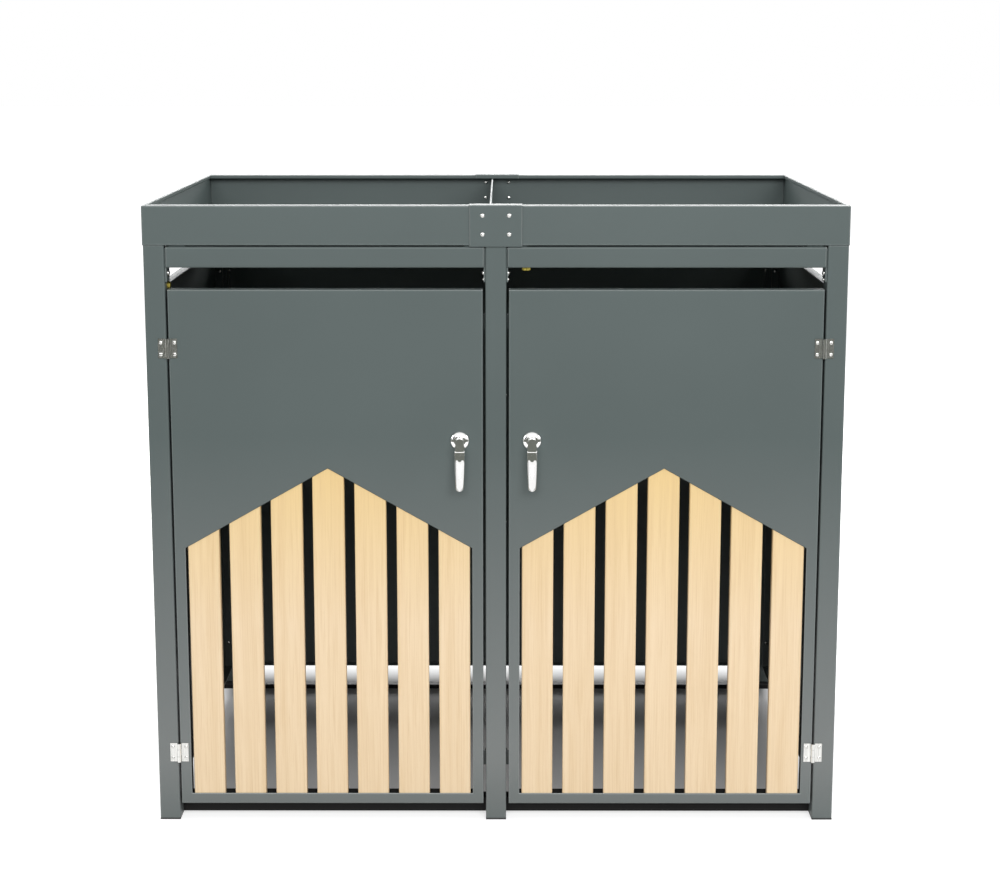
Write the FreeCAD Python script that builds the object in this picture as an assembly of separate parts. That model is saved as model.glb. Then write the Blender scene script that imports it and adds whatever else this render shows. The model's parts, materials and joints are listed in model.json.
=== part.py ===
import FreeCAD, Part
import math
import os

# Double wheelie bin store. X runs across the fronts, Y from front to back, Z up from the ground.
# The origin is the middle of the whole box, on the ground. All sizes are in millimetres.

V = FreeCAD.Vector
ACROSS = V(1, 0, 0)
BACK = V(0, 1, 0)
UP = V(0, 0, 1)

# Overall sizes
overall_width = 1340.0
body_depth = 830.0
rim_height = 1225.0

# Posts, square tube
post_size = 40.0
post_wall = 2.0
post_corner_radius = 3.0
post_setback = 1.0
cap_flange = 3.0
cap_plug_depth = 15.0
cap_plug_clearance = 0.3

# Planter trays of folded sheet
tray_height = 75.0
tray_gauge = 1.5
tray_seam_x = -11.0
tray_edge = 1.0
rim_flange = 28.0
rim_lip = 8.0
side_hem = 5.0
drain_hole_diameter = 12.0
drain_hole_inset = 90.0

# Joint plates over the seam
plate_width = 100.0
plate_gauge = 1.5
plate_overhang = 3.0

# Top rails, square tube with an end plate at each end
rail_size = 40.0
rail_wall = 2.0
rail_below_tray = 3.0
end_plate = 3.0
end_plate_drop = 28.0
end_plate_margin = 3.0
pad_width = 32.0
pad_from_post = 8.0
pad_margin = 3.0

# Sills on the ground
front_sill_size = 30.0
front_sill_wall = 2.0
rear_angle_depth = 40.0
rear_angle_height = 10.0
rear_angle_gauge = 3.0

# Side and rear panels, folded sheet
panel_fold = 20.0
panel_gauge = 1.5
panel_edge_radius = 1.2
panel_bottom = 40.0
panel_below_rail = 42.0

# Doors, folded sheet with a house-shaped opening
door_bottom = 34.0
door_below_rail = 42.0
door_fold = 25.0
door_gauge = 1.5
door_edge_radius = 1.2
hinge_gap = 4.0
latch_gap = 5.0
stile_width = 21.0
bottom_rail = 21.0
header_height = 348.0
gable_rise = 159.0

# Slats behind the sheet, and the frame that carries them
slat_count = 7
slat_width = 61.0
slat_thickness = 16.0
slat_side_gap = 4.6
slat_edge = 1.5
slat_lap = 15.0
slat_frame_thickness = 6.0
slat_frame_lap = 22.0
slat_frame_setback = 1.0

# Hinges
hinge_height = 38.0
hinge_leaf = 18.0
hinge_gauge = 1.5
knuckle_diameter = 8.0
middle_knuckle = 14.0
knuckle_clearance = 0.3
hinge_pin_diameter = 4.0
hinge_pin_clearance = 0.05
hinge_low_inset = 107.0
hinge_high_inset = 113.0

# Latches
latch_below_top = 293.0
latch_inset = 44.5
rose_diameter = 37.0
rose_height = 9.0
rose_bevel = 4.0
barrel_diameter = 18.0
barrel_clearance = 0.2
latch_nut_across_flats = 26.0
latch_nut_height = 5.0
spindle_diameter = 8.0
spindle_clearance = 0.05
spindle_square = 5.5
cam_gap = 0.3
cam_thickness = 3.0
cam_width = 18.0
cam_engagement = 10.0
cam_slot_clearance = 1.5

# Lever
lever_length = 92.0
lever_reach = 37.0
boss_width = 21.0
boss_front = 25.0
boss_drop = 18.5
boss_edge = 1.0
boss_setback = 2.5
blade_root_thickness = 10.0
blade_width = 19.0
blade_tip_width = 15.0
blade_tip_thickness = 6.0
blade_sweep_share = 0.41

# Door stops on the middle post
stop_height = 30.0
stop_gauge = 2.0
stop_reach = 14.0
stop_clearance = 0.5
stop_leg = 12.0
stop_low_inset = 86.0
stop_high_inset = 65.0

# Places that follow from the sizes
handle_proud = lever_reach - post_setback
tray_front_y = (handle_proud - body_depth - plate_gauge) / 2
tray_rear_y = tray_front_y + body_depth
face_y = tray_front_y + post_setback
front_post_back_y = face_y + post_size
rear_post_back_y = tray_rear_y - post_setback
rear_post_front_y = rear_post_back_y - post_size
tray_bottom_z = rim_height - tray_height
rail_top_z = tray_bottom_z - rail_below_tray
rail_bottom_z = rail_top_z - rail_size
panel_top = rail_bottom_z - panel_below_rail
door_top = rail_bottom_z - door_below_rail
hinge_low_z = door_bottom + hinge_low_inset
hinge_high_z = door_top - hinge_high_inset
latch_z = door_top - latch_below_top
stop_low_z = door_bottom + stop_low_inset
stop_high_z = door_top - stop_high_inset
outer_post_x = overall_width / 2 - post_setback - post_size / 2
bay_outer_x = outer_post_x - post_size / 2
bay_inner_x = post_size / 2
front_post_y = face_y + post_size / 2
rear_post_y = rear_post_back_y - post_size / 2
hinge_axis_x = bay_outer_x - hinge_gap / 2
hinge_axis_y = face_y - knuckle_diameter / 2
door_outer_x = bay_outer_x - hinge_gap
door_inner_x = bay_inner_x + latch_gap
door_middle_x = (door_outer_x + door_inner_x) / 2
opening_half = (door_outer_x - door_inner_x) / 2 - stile_width
opening_bottom = door_bottom + bottom_rail
apex_z = door_top - header_height
gable_slope = gable_rise / opening_half
gable_angle = math.atan(gable_slope)
slat_front_y = face_y + door_gauge
slat_back_y = slat_front_y + slat_thickness
slat_frame_back_y = slat_back_y + slat_frame_thickness
door_back_y = face_y + door_fold
latch_x = door_inner_x + latch_inset
barrel_end_y = door_back_y + cam_gap * 6
cam_front_y = barrel_end_y + cam_gap
cam_back_y = cam_front_y + cam_thickness
cam_radius = latch_inset + latch_gap + cam_engagement


def box(x0, x1, y0, y1, z0, z1):
    """A block between two opposite corners."""
    return Part.makeBox(x1 - x0, y1 - y0, z1 - z0, V(x0, y0, z0))


def cylinder(start, direction, diameter, length):
    """A round bar that starts at a point and runs along a direction."""
    return Part.makeCylinder(diameter / 2, length, start, direction)


def straight_edges(shape, direction):
    """The edges of a block that run along one direction."""
    found = []
    for edge in shape.Edges:
        run = edge.Vertexes[-1].Point.sub(edge.Vertexes[0].Point)
        if run.cross(direction).Length < 1e-6:
            found.append(edge)
    return found


def square_tube(x0, x1, y0, y1, z0, z1, wall, corner_radius, direction):
    """A tube of rectangular section with rounded long edges, open at both ends."""
    outside = box(x0, x1, y0, y1, z0, z1)
    outside = outside.makeFillet(corner_radius, straight_edges(outside, direction))
    side_x = wall * (1 - abs(direction.x))
    side_y = wall * (1 - abs(direction.y))
    side_z = wall * (1 - abs(direction.z))
    inside = box(x0 + side_x, x1 - side_x, y0 + side_y, y1 - side_y, z0 + side_z, z1 - side_z)
    return outside.cut(inside)


def prism_y(points, y0, y1):
    """A flat outline in X and Z, given thickness from y0 to y1."""
    corners = [V(x, y0, z) for x, z in points]
    wire = Part.makePolygon(corners + [corners[0]])
    return Part.Face(wire).extrude(V(0, y1 - y0, 0))


def house(half_width, bottom, top, y0, y1):
    """The door's house outline: upright sides and two slopes that meet at the top."""
    eaves = top - half_width * gable_slope
    left = -door_middle_x - half_width
    right = -door_middle_x + half_width
    points = [(left, bottom), (right, bottom), (right, eaves), (-door_middle_x, top), (left, eaves)]
    return prism_y(points, y0, y1)


def hexagon_bar(centre, direction, across_flats, length):
    """A six-sided bar from a point along a direction."""
    corner = across_flats / math.sqrt(3)
    side = ACROSS if abs(direction.x) < 0.5 else UP
    other = direction.cross(side)
    points = []
    for step in range(6):
        angle = math.radians(60 * step)
        points.append(centre + side * (corner * math.cos(angle)) + other * (corner * math.sin(angle)))
    wire = Part.makePolygon(points + [points[0]])
    return Part.Face(wire).extrude(direction * length)


def mirrored(shape):
    """The same piece on the other side of the store."""
    return shape.mirror(V(0, 0, 0), ACROSS)


def group(shapes):
    """Several separate solids kept in one file."""
    return Part.makeCompound(shapes)


# Posts and their end caps
def post(middle_x, middle_y):
    """One upright, from its end cap to the underside of the trays."""
    half = post_size / 2
    return square_tube(middle_x - half, middle_x + half, middle_y - half, middle_y + half,
                       cap_flange, tray_bottom_z, post_wall, post_corner_radius, UP)


def cam_slot():
    """The slot through both sides of the middle post that the two cams turn into."""
    reach = latch_inset + latch_gap
    entry_height = math.sqrt(cam_radius ** 2 - reach ** 2)
    return box(-post_size, post_size, cam_front_y - cam_slot_clearance, cam_back_y + cam_slot_clearance,
               latch_z - cam_width / 2 - cam_slot_clearance, latch_z + entry_height + cam_slot_clearance)


def post_cap(middle_x, middle_y):
    """A cap with a plug that fits up into the post."""
    half = post_size / 2
    plug = half - post_wall - cap_plug_clearance
    flange = box(middle_x - half, middle_x + half, middle_y - half, middle_y + half, 0, cap_flange)
    return flange.fuse(box(middle_x - plug, middle_x + plug, middle_y - plug, middle_y + plug,
                           cap_flange, cap_flange + cap_plug_depth))


# Top rails
def rail_across(bay_side, middle_y):
    """A rail across one bay, with its two end plates."""
    inner = bay_side * bay_inner_x
    outer = bay_side * bay_outer_x
    low = min(inner, outer)
    high = max(inner, outer)
    half = rail_size / 2
    rail = square_tube(low + end_plate, high - end_plate, middle_y - half, middle_y + half,
                       rail_bottom_z, rail_top_z, rail_wall, post_corner_radius, ACROSS)
    plate_half = half - end_plate_margin
    for start in (low, high - end_plate):
        rail = rail.fuse(box(start, start + end_plate, middle_y - plate_half, middle_y + plate_half,
                             rail_bottom_z - end_plate_drop, rail_top_z - end_plate_margin))
    return rail


def rail_along_side(side):
    """A rail from the front post to the rear post on one side."""
    middle_x = side * outer_post_x
    half = rail_size / 2
    rail = square_tube(middle_x - half, middle_x + half, front_post_back_y + end_plate,
                       rear_post_front_y - end_plate, rail_bottom_z, rail_top_z,
                       rail_wall, post_corner_radius, BACK)
    plate_half = half - end_plate_margin
    for start in (front_post_back_y, rear_post_front_y - end_plate):
        rail = rail.fuse(box(middle_x - plate_half, middle_x + plate_half, start, start + end_plate,
                             rail_bottom_z - end_plate_drop, rail_top_z - end_plate_margin))
    return rail


def tray_pads():
    """Spacers that carry the trays on the front and rear rails, beside the posts."""
    pads = []
    half = rail_size / 2 - pad_margin
    near = bay_inner_x + pad_from_post
    far = bay_outer_x - pad_from_post
    for middle_y in (front_post_y, rear_post_y):
        for low in (near, far - pad_width, -near - pad_width, -far):
            pads.append(box(low, low + pad_width, middle_y - half, middle_y + half,
                            rail_top_z, tray_bottom_z))
    return group(pads)


# Sills
def front_sill():
    """A tube on the ground behind the front posts."""
    half = overall_width / 2 - post_setback
    return square_tube(-half, half, front_post_back_y, front_post_back_y + front_sill_size,
                       0, front_sill_size, front_sill_wall, post_corner_radius, ACROSS)


def rear_sill():
    """A low angle on the ground before the rear posts."""
    half = overall_width / 2 - post_setback
    front = rear_post_front_y - rear_angle_depth
    foot = box(-half, half, front, rear_post_front_y, 0, rear_angle_gauge)
    upstand = box(-half, half, front, front + rear_angle_gauge, 0, rear_angle_height)
    return foot.fuse(upstand).removeSplitter()


# Panels
def side_panel(side):
    """A folded panel between the front and rear posts, its skin on the outside."""
    outer = side * (outer_post_x + panel_fold / 2)
    inner = side * (outer_post_x - panel_fold / 2)
    low = min(outer, inner)
    high = max(outer, inner)
    pan = box(low, high, front_post_back_y, rear_post_front_y, panel_bottom, panel_top)
    pan = pan.makeFillet(panel_edge_radius, [edge for edge in pan.Edges
                                             if edge.BoundBox.XLength < 1e-6
                                             and abs(edge.BoundBox.XMin - outer) < 1e-6])
    hollow = box(low + panel_gauge * (side < 0), high - panel_gauge * (side > 0),
                 front_post_back_y + panel_gauge, rear_post_front_y - panel_gauge,
                 panel_bottom + panel_gauge, panel_top - panel_gauge)
    return pan.cut(hollow)


def rear_panel(side):
    """A folded panel between two rear posts, its skin on the outside."""
    inner = side * bay_inner_x
    outer = side * bay_outer_x
    low = min(inner, outer)
    high = max(inner, outer)
    back = rear_post_y + panel_fold / 2
    front = rear_post_y - panel_fold / 2
    pan = box(low, high, front, back, panel_bottom, panel_top)
    pan = pan.makeFillet(panel_edge_radius, [edge for edge in pan.Edges
                                             if edge.BoundBox.YLength < 1e-6
                                             and abs(edge.BoundBox.YMin - back) < 1e-6])
    hollow = box(low + panel_gauge, high - panel_gauge, front, back - panel_gauge,
                 panel_bottom + panel_gauge, panel_top - panel_gauge)
    return pan.cut(hollow)


# Planter trays
def planter_tray(side):
    """A tray with a wide rim at the front and rear, a hemmed outer side and a lower wall at the seam."""
    outer = side * overall_width / 2
    low = min(outer, tray_seam_x)
    high = max(outer, tray_seam_x)
    front_rim_y = tray_front_y + rim_flange
    rear_rim_y = tray_rear_y - rim_flange
    tray = box(low, high, tray_front_y, tray_rear_y, tray_bottom_z, rim_height)
    tray = tray.makeChamfer(tray_edge, [edge for edge in tray.Edges
                                        if abs(edge.BoundBox.XMin - tray_seam_x) > 1e-6
                                        and edge.BoundBox.ZMax > tray_bottom_z + 1e-6])
    mouth_low = low + (side_hem if side < 0 else tray_gauge)
    mouth_high = high - (side_hem if side > 0 else tray_gauge)
    mouth = box(mouth_low, mouth_high, front_rim_y, rear_rim_y, tray_bottom_z + tray_gauge, rim_height)
    well = box(low + tray_gauge, high - tray_gauge, tray_front_y + tray_gauge, tray_rear_y - tray_gauge,
               tray_bottom_z + tray_gauge, rim_height - tray_gauge)
    lip = box(mouth_low - tray_gauge * (side < 0), mouth_high + tray_gauge * (side > 0),
              front_rim_y - tray_gauge, rear_rim_y + tray_gauge, rim_height - rim_lip, rim_height)
    tray = tray.cut(well.cut(lip)).cut(mouth)
    step_x = sorted((tray_seam_x, tray_seam_x + side * tray_gauge))
    tray = tray.cut(box(step_x[0], step_x[1], front_rim_y, rear_rim_y, rim_height - rim_lip, rim_height))
    for y in (tray_front_y + drain_hole_inset, tray_rear_y - drain_hole_inset):
        drain = V((low + high) / 2, y, tray_bottom_z - 1)
        tray = tray.cut(cylinder(drain, UP, drain_hole_diameter, tray_gauge + 2))
    return tray


def tray_joint_plates():
    """Two plates over the seam, front and rear, that wrap over the rim and down its lip."""
    half = plate_width / 2
    plates = []
    for wall_y, outward in ((tray_front_y, -1), (tray_rear_y, 1)):
        outer_y = wall_y + outward * plate_gauge
        lip_y = wall_y - outward * rim_flange
        inner_y = lip_y - outward * plate_gauge
        skin = sorted((outer_y, wall_y))
        cover = sorted((outer_y, inner_y))
        lip = sorted((lip_y, inner_y))
        front = box(-half, half, skin[0], skin[1], tray_bottom_z - plate_overhang, rim_height + plate_gauge)
        top = box(-half, half, cover[0], cover[1], rim_height, rim_height + plate_gauge)
        back = box(-half, half, lip[0], lip[1], rim_height - rim_lip, rim_height + plate_gauge)
        plates.append(front.fuse([top, back]).removeSplitter())
    return group(plates)


# Doors. The left door is modelled, and the right one is its mirror image.
def door_sheet():
    """The folded door sheet with its house-shaped opening and latch hole."""
    pan = box(-door_outer_x, -door_inner_x, face_y, door_back_y, door_bottom, door_top)
    pan = pan.makeFillet(door_edge_radius, [edge for edge in pan.Edges
                                            if edge.BoundBox.YLength < 1e-6
                                            and abs(edge.BoundBox.YMin - face_y) < 1e-6])
    hollow = box(-door_outer_x + door_gauge, -door_inner_x - door_gauge, face_y + door_gauge, door_back_y,
                 door_bottom + door_gauge, door_top - door_gauge)
    pan = pan.cut(hollow)
    pan = pan.cut(house(opening_half, opening_bottom, apex_z, face_y - 1, face_y + 2 * door_gauge))
    return pan.cut(cylinder(V(-latch_x, face_y - 1, latch_z), BACK, barrel_diameter + barrel_clearance,
                            2 * door_gauge + 1))


def slat_frame():
    """The flat house-shaped frame inside the door that the slats are fixed to."""
    slant = 1 / math.cos(gable_angle)
    ring = house((door_outer_x - door_inner_x) / 2 - door_gauge, door_bottom + door_gauge,
                 apex_z + slat_frame_lap * slant, slat_back_y, slat_frame_back_y)
    hole = house(opening_half + slat_frame_setback, opening_bottom,
                 apex_z + slat_frame_setback * slant, slat_back_y - 1, slat_frame_back_y + 1)
    return ring.cut(hole)


def slats():
    """Upright slats behind the sheet, their tops cut to the slope of the opening."""
    slant = 1 / math.cos(gable_angle)
    span = 2 * (opening_half - slat_side_gap)
    pitch = (span - slat_width) / (slat_count - 1)
    first = -door_middle_x - opening_half + slat_side_gap
    roof = house(opening_half, opening_bottom - slat_lap, apex_z + slat_lap * slant,
                 slat_front_y - 1, slat_back_y + 1)
    made = []
    for index in range(slat_count):
        low = first + index * pitch
        slat = box(low, low + slat_width, slat_front_y, slat_back_y, opening_bottom - slat_lap,
                   apex_z + 2 * slat_lap)
        front_edges = [edge for edge in straight_edges(slat, UP)
                       if abs(edge.BoundBox.YMin - slat_front_y) < 1e-6]
        made.append(slat.makeChamfer(slat_edge, front_edges).common(roof))
    return made


# Hinges of the left door
def knuckles():
    """Height ranges of the two outer knuckles and the middle one, about a hinge's middle."""
    half = hinge_height / 2
    inner = middle_knuckle / 2
    return [(-half, -inner - knuckle_clearance), (-inner, inner), (inner + knuckle_clearance, half)]


def hinge_leaf_plate(column, middle_z):
    """One leaf: its plate on the face, rolled round the axis at its own knuckles."""
    half = hinge_height / 2
    axis_x = -hinge_axis_x
    edge = sorted((axis_x, axis_x + column * hinge_leaf))
    leaf = box(edge[0], edge[1], face_y - hinge_gauge, face_y, middle_z - half, middle_z + half)
    own = [1] if column > 0 else [0, 2]
    relief = knuckle_diameter / 2 + knuckle_clearance
    for index, (low, high) in enumerate(knuckles()):
        if index in own:
            knuckle = cylinder(V(axis_x, hinge_axis_y, middle_z + low), UP, knuckle_diameter, high - low)
            leaf = leaf.fuse(knuckle)
        else:
            leaf = leaf.cut(box(axis_x - relief, axis_x + relief, face_y - 2 * hinge_gauge, face_y + 1,
                                middle_z + low - knuckle_clearance, middle_z + high + knuckle_clearance))
    return leaf.removeSplitter()


def hinge_frame_leaf(middle_z):
    """The post's leaf, with the pin fixed in its two knuckles."""
    pin = cylinder(V(-hinge_axis_x, hinge_axis_y, middle_z - middle_knuckle), UP,
                   hinge_pin_diameter, 2 * middle_knuckle)
    return hinge_leaf_plate(-1, middle_z).fuse(pin).removeSplitter()


def hinge_door_leaf(middle_z):
    """The door's leaf, whose middle knuckle turns on the pin."""
    bore = cylinder(V(-hinge_axis_x, hinge_axis_y, middle_z - middle_knuckle), UP,
                    hinge_pin_diameter + 2 * hinge_pin_clearance, 2 * middle_knuckle)
    return hinge_leaf_plate(1, middle_z).cut(bore)


# Latch of the left door
def rose():
    """The rose on the door's face, with a bevelled edge and its threaded barrel behind."""
    rim = rose_diameter / 2
    bore = spindle_diameter / 2 + spindle_clearance
    barrel = barrel_diameter / 2
    face = rim - rose_bevel
    profile = [(bore, barrel_end_y), (barrel, barrel_end_y), (barrel, face_y), (rim, face_y),
               (rim, face_y - rose_height + rose_bevel), (face, face_y - rose_height),
               (bore, face_y - rose_height)]
    corners = [V(radius, y, 0) for radius, y in profile]
    turned = Part.Face(Part.makePolygon(corners + [corners[0]])).revolve(V(0, 0, 0), BACK, 360)
    turned.translate(V(-latch_x, 0, latch_z))
    return turned


def latch_nut():
    """The nut on the barrel, tight against the back of the sheet."""
    seat = V(-latch_x, face_y + door_gauge, latch_z)
    nut = hexagon_bar(seat, BACK, latch_nut_across_flats, latch_nut_height)
    bore = barrel_diameter + 2 * spindle_clearance
    return nut.cut(cylinder(seat - BACK, BACK, bore, latch_nut_height + 2))


def blade():
    """The lever's blade: an outward sweep seen from the side, a taper with a round end from the front."""
    centre_x = -latch_x
    front = boss_front - boss_setback
    back = front - blade_root_thickness
    tip_back = lever_reach - blade_tip_thickness
    tip = blade_tip_width / 2
    sweep_end = lever_length - tip
    half_drop = (boss_drop + sweep_end) / 2

    def side_point(reach, drop):
        return V(centre_x - boss_width / 2, face_y - reach, latch_z - drop)

    def swept(start, end):
        middle = start + (end - start) * blade_sweep_share
        return Part.Arc(side_point(start, boss_drop), side_point(middle, half_drop),
                        side_point(end, sweep_end)).toShape()

    side = Part.Wire([
        Part.makeLine(side_point(back, 0), side_point(front, 0)),
        Part.makeLine(side_point(front, 0), side_point(front, boss_drop)),
        swept(front, lever_reach),
        Part.makeLine(side_point(lever_reach, sweep_end), side_point(lever_reach, lever_length)),
        Part.makeLine(side_point(lever_reach, lever_length), side_point(tip_back, lever_length)),
        Part.makeLine(side_point(tip_back, lever_length), side_point(tip_back, sweep_end)),
        swept(back, tip_back),
        Part.makeLine(side_point(back, boss_drop), side_point(back, 0)),
    ])
    profile = Part.Face(side).extrude(V(boss_width, 0, 0))
    root = blade_width / 2
    front_y = face_y - lever_reach - 1
    shoulder_z = latch_z - sweep_end
    outline = Part.Wire([
        Part.makeLine(V(centre_x - root, front_y, latch_z), V(centre_x + root, front_y, latch_z)),
        Part.makeLine(V(centre_x + root, front_y, latch_z), V(centre_x + tip, front_y, shoulder_z)),
        Part.Arc(V(centre_x + tip, front_y, shoulder_z), V(centre_x, front_y, shoulder_z - tip),
                 V(centre_x - tip, front_y, shoulder_z)).toShape(),
        Part.makeLine(V(centre_x - tip, front_y, shoulder_z), V(centre_x - root, front_y, latch_z)),
    ])
    return profile.common(Part.Face(outline).extrude(V(0, lever_reach, 0)))


def lever():
    """The lever: a boss on the rose, a blade that hangs from it, and the spindle behind."""
    centre_x = -latch_x
    back_y = face_y - rose_height - cam_gap
    front_y = face_y - boss_front
    left = centre_x - boss_width / 2
    right = centre_x + boss_width / 2
    foot_z = latch_z - boss_drop
    outline = Part.Wire([
        Part.makeLine(V(left, back_y, latch_z), V(left, back_y, foot_z)),
        Part.makeLine(V(left, back_y, foot_z), V(right, back_y, foot_z)),
        Part.makeLine(V(right, back_y, foot_z), V(right, back_y, latch_z)),
        Part.Arc(V(right, back_y, latch_z), V(centre_x, back_y, latch_z + boss_width / 2),
                 V(left, back_y, latch_z)).toShape(),
    ])
    boss = Part.Face(outline).extrude(V(0, front_y - back_y, 0))
    front_rim = [edge for edge in boss.Edges if abs(edge.BoundBox.YMax - front_y) < 1e-6]
    boss = boss.makeChamfer(boss_edge, front_rim)
    spindle = cylinder(V(centre_x, back_y, latch_z), BACK, spindle_diameter, cam_front_y - back_y)
    square = spindle_square / 2
    end = box(centre_x - square, centre_x + square, cam_front_y, cam_back_y,
              latch_z - square, latch_z + square)
    return boss.fuse([blade(), spindle, end]).removeSplitter()


def cam():
    """The flat cam behind the door, up at rest and turned to the middle post to lock."""
    half = cam_width / 2
    centre_x = -latch_x
    top = latch_z + cam_radius - half
    outline = Part.Wire([
        Part.makeLine(V(centre_x - half, cam_front_y, top), V(centre_x - half, cam_front_y, latch_z)),
        Part.Arc(V(centre_x - half, cam_front_y, latch_z), V(centre_x, cam_front_y, latch_z - half),
                 V(centre_x + half, cam_front_y, latch_z)).toShape(),
        Part.makeLine(V(centre_x + half, cam_front_y, latch_z), V(centre_x + half, cam_front_y, top)),
        Part.Arc(V(centre_x + half, cam_front_y, top), V(centre_x, cam_front_y, top + half),
                 V(centre_x - half, cam_front_y, top)).toShape(),
    ])
    plate = Part.Face(outline).extrude(V(0, cam_thickness, 0))
    square = spindle_square / 2 + spindle_clearance
    return plate.cut(box(centre_x - square, centre_x + square, cam_front_y - 1, cam_back_y + 1,
                         latch_z - square, latch_z + square))


# Door stops
def door_stops():
    """Small angles on the middle post that the closed doors rest against."""
    stops = []
    front = door_back_y + stop_clearance
    for middle_z in (stop_low_z, stop_high_z):
        low = middle_z - stop_height / 2
        high = middle_z + stop_height / 2
        leg = box(-bay_inner_x - stop_gauge, -bay_inner_x, front, front + stop_leg, low, high)
        face = box(-bay_inner_x - stop_reach, -bay_inner_x, front, front + stop_gauge, low, high)
        stop = leg.fuse(face).removeSplitter()
        stops.append(stop)
        stops.append(mirrored(stop))
    return group(stops)


# Everything put together, one file for each node
def build():
    """All the nodes by name."""
    nodes = {}
    columns = (("left", -outer_post_x), ("middle", 0.0), ("right", outer_post_x))
    rows = (("front", front_post_y), ("rear", rear_post_y))
    caps = []
    for row, y in rows:
        for column, x in columns:
            nodes["post_" + row + "_" + column] = post(x, y)
            caps.append(post_cap(x, y))
    nodes["post_front_middle"] = nodes["post_front_middle"].cut(cam_slot())
    nodes["post_end_caps"] = group(caps)

    for name, side in (("left", -1), ("right", 1)):
        nodes["front_rail_" + name] = rail_across(side, front_post_y)
        nodes["rear_rail_" + name] = rail_across(side, rear_post_y)
        nodes["side_rail_" + name] = rail_along_side(side)
        nodes["side_panel_" + name] = side_panel(side)
        nodes["rear_panel_" + name] = rear_panel(side)
        nodes["planter_tray_" + name] = planter_tray(side)
    nodes["tray_pads"] = tray_pads()
    nodes["tray_joint_plates"] = tray_joint_plates()
    nodes["front_sill"] = front_sill()
    nodes["rear_sill"] = rear_sill()
    nodes["door_stops"] = door_stops()

    frame_leaves = [hinge_frame_leaf(middle_z) for middle_z in (hinge_low_z, hinge_high_z)]
    nodes["hinge_frame_leaves"] = group(frame_leaves + [mirrored(leaf) for leaf in frame_leaves])

    door_leaves = [hinge_door_leaf(middle_z) for middle_z in (hinge_low_z, hinge_high_z)]
    left = {"door_sheet": door_sheet(), "slat_frame": slat_frame(), "hinge_leaves": group(door_leaves),
            "latch_rose": rose(), "latch_nut": latch_nut(), "lever": lever(), "cam": cam()}
    for index, slat in enumerate(slats()):
        left["slat_" + str(index + 1)] = slat
    for name, shape in left.items():
        nodes["left_" + name] = shape
        nodes["right_" + name] = mirrored(shape)
    return nodes


os.makedirs("parts", exist_ok=True)
for node, solid in build().items():
    solid.exportStep("parts/" + node + ".step")
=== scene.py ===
import json
import math

import bmesh
import bpy
from mathutils import Matrix, Vector


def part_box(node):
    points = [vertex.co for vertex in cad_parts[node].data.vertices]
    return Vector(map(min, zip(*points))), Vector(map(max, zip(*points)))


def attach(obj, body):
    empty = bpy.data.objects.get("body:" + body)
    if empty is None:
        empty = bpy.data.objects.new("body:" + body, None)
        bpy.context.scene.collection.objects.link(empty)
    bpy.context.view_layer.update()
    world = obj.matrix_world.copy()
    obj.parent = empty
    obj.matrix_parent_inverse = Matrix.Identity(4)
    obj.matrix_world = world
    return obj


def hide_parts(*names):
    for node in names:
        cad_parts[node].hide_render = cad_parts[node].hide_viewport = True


bl_info = {
    "name": "Wheelie bin store finishes",
    "version": (1, 0, 0),
    "blender": (4, 5, 0),
    "location": "3D View > Sidebar > Bin Store",
    "description": "Finishes, latches and small fixings of a double wheelie bin store",
    "category": "Object",
}

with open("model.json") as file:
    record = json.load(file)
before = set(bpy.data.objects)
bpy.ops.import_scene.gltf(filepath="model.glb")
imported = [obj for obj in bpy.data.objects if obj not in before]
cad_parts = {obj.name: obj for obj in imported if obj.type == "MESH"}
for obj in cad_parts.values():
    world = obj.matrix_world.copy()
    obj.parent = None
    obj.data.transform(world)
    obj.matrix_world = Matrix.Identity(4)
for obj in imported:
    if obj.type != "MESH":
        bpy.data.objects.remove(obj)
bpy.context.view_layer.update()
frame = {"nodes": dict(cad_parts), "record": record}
NODES = frame["nodes"]
SIDES = ("left", "right")
FRONT, BACK = Vector((0, -1, 0)), Vector((0, 1, 0))
LEFT, RIGHT = Vector((-1, 0, 0)), Vector((1, 0, 0))
DOWN = Vector((0, 0, -1))
BLACK, WHITE = (0.0, 0.0, 0.0), (1.0, 1.0, 1.0)
MM = 0.001
SHEET = 1.5 * MM  # thickness of the folded sheets
END_PLATE = 3.0 * MM  # thickness of the plates on the rails' ends
RIVET_HEIGHT = 2.3 * MM
HEAD_SEGMENTS = 24
TINY = 1e-6
CLOUD_RANGE = (0.3, 0.7)  # where nearly all values of a cloudy pattern lie


# Settings
def colour_setting(name, description, default):
    """A colour that a user can set."""
    return bpy.props.FloatVectorProperty(
        name=name, description=description, default=default, subtype="COLOR", size=3, min=0, max=1)


def number_setting(name, description, default, limits, **kind):
    """A number that a user can set between two limits."""
    return bpy.props.FloatProperty(
        name=name, description=description, default=default, min=limits[0], max=limits[1], **kind)


def length_setting(name, description, default, limits):
    """A length in metres."""
    return number_setting(name, description, default, limits, unit="LENGTH", precision=4)


def power_setting(name, description, default):
    """A lamp's power in watts."""
    return number_setting(name, description, default, (0, 2000), unit="POWER")


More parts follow.
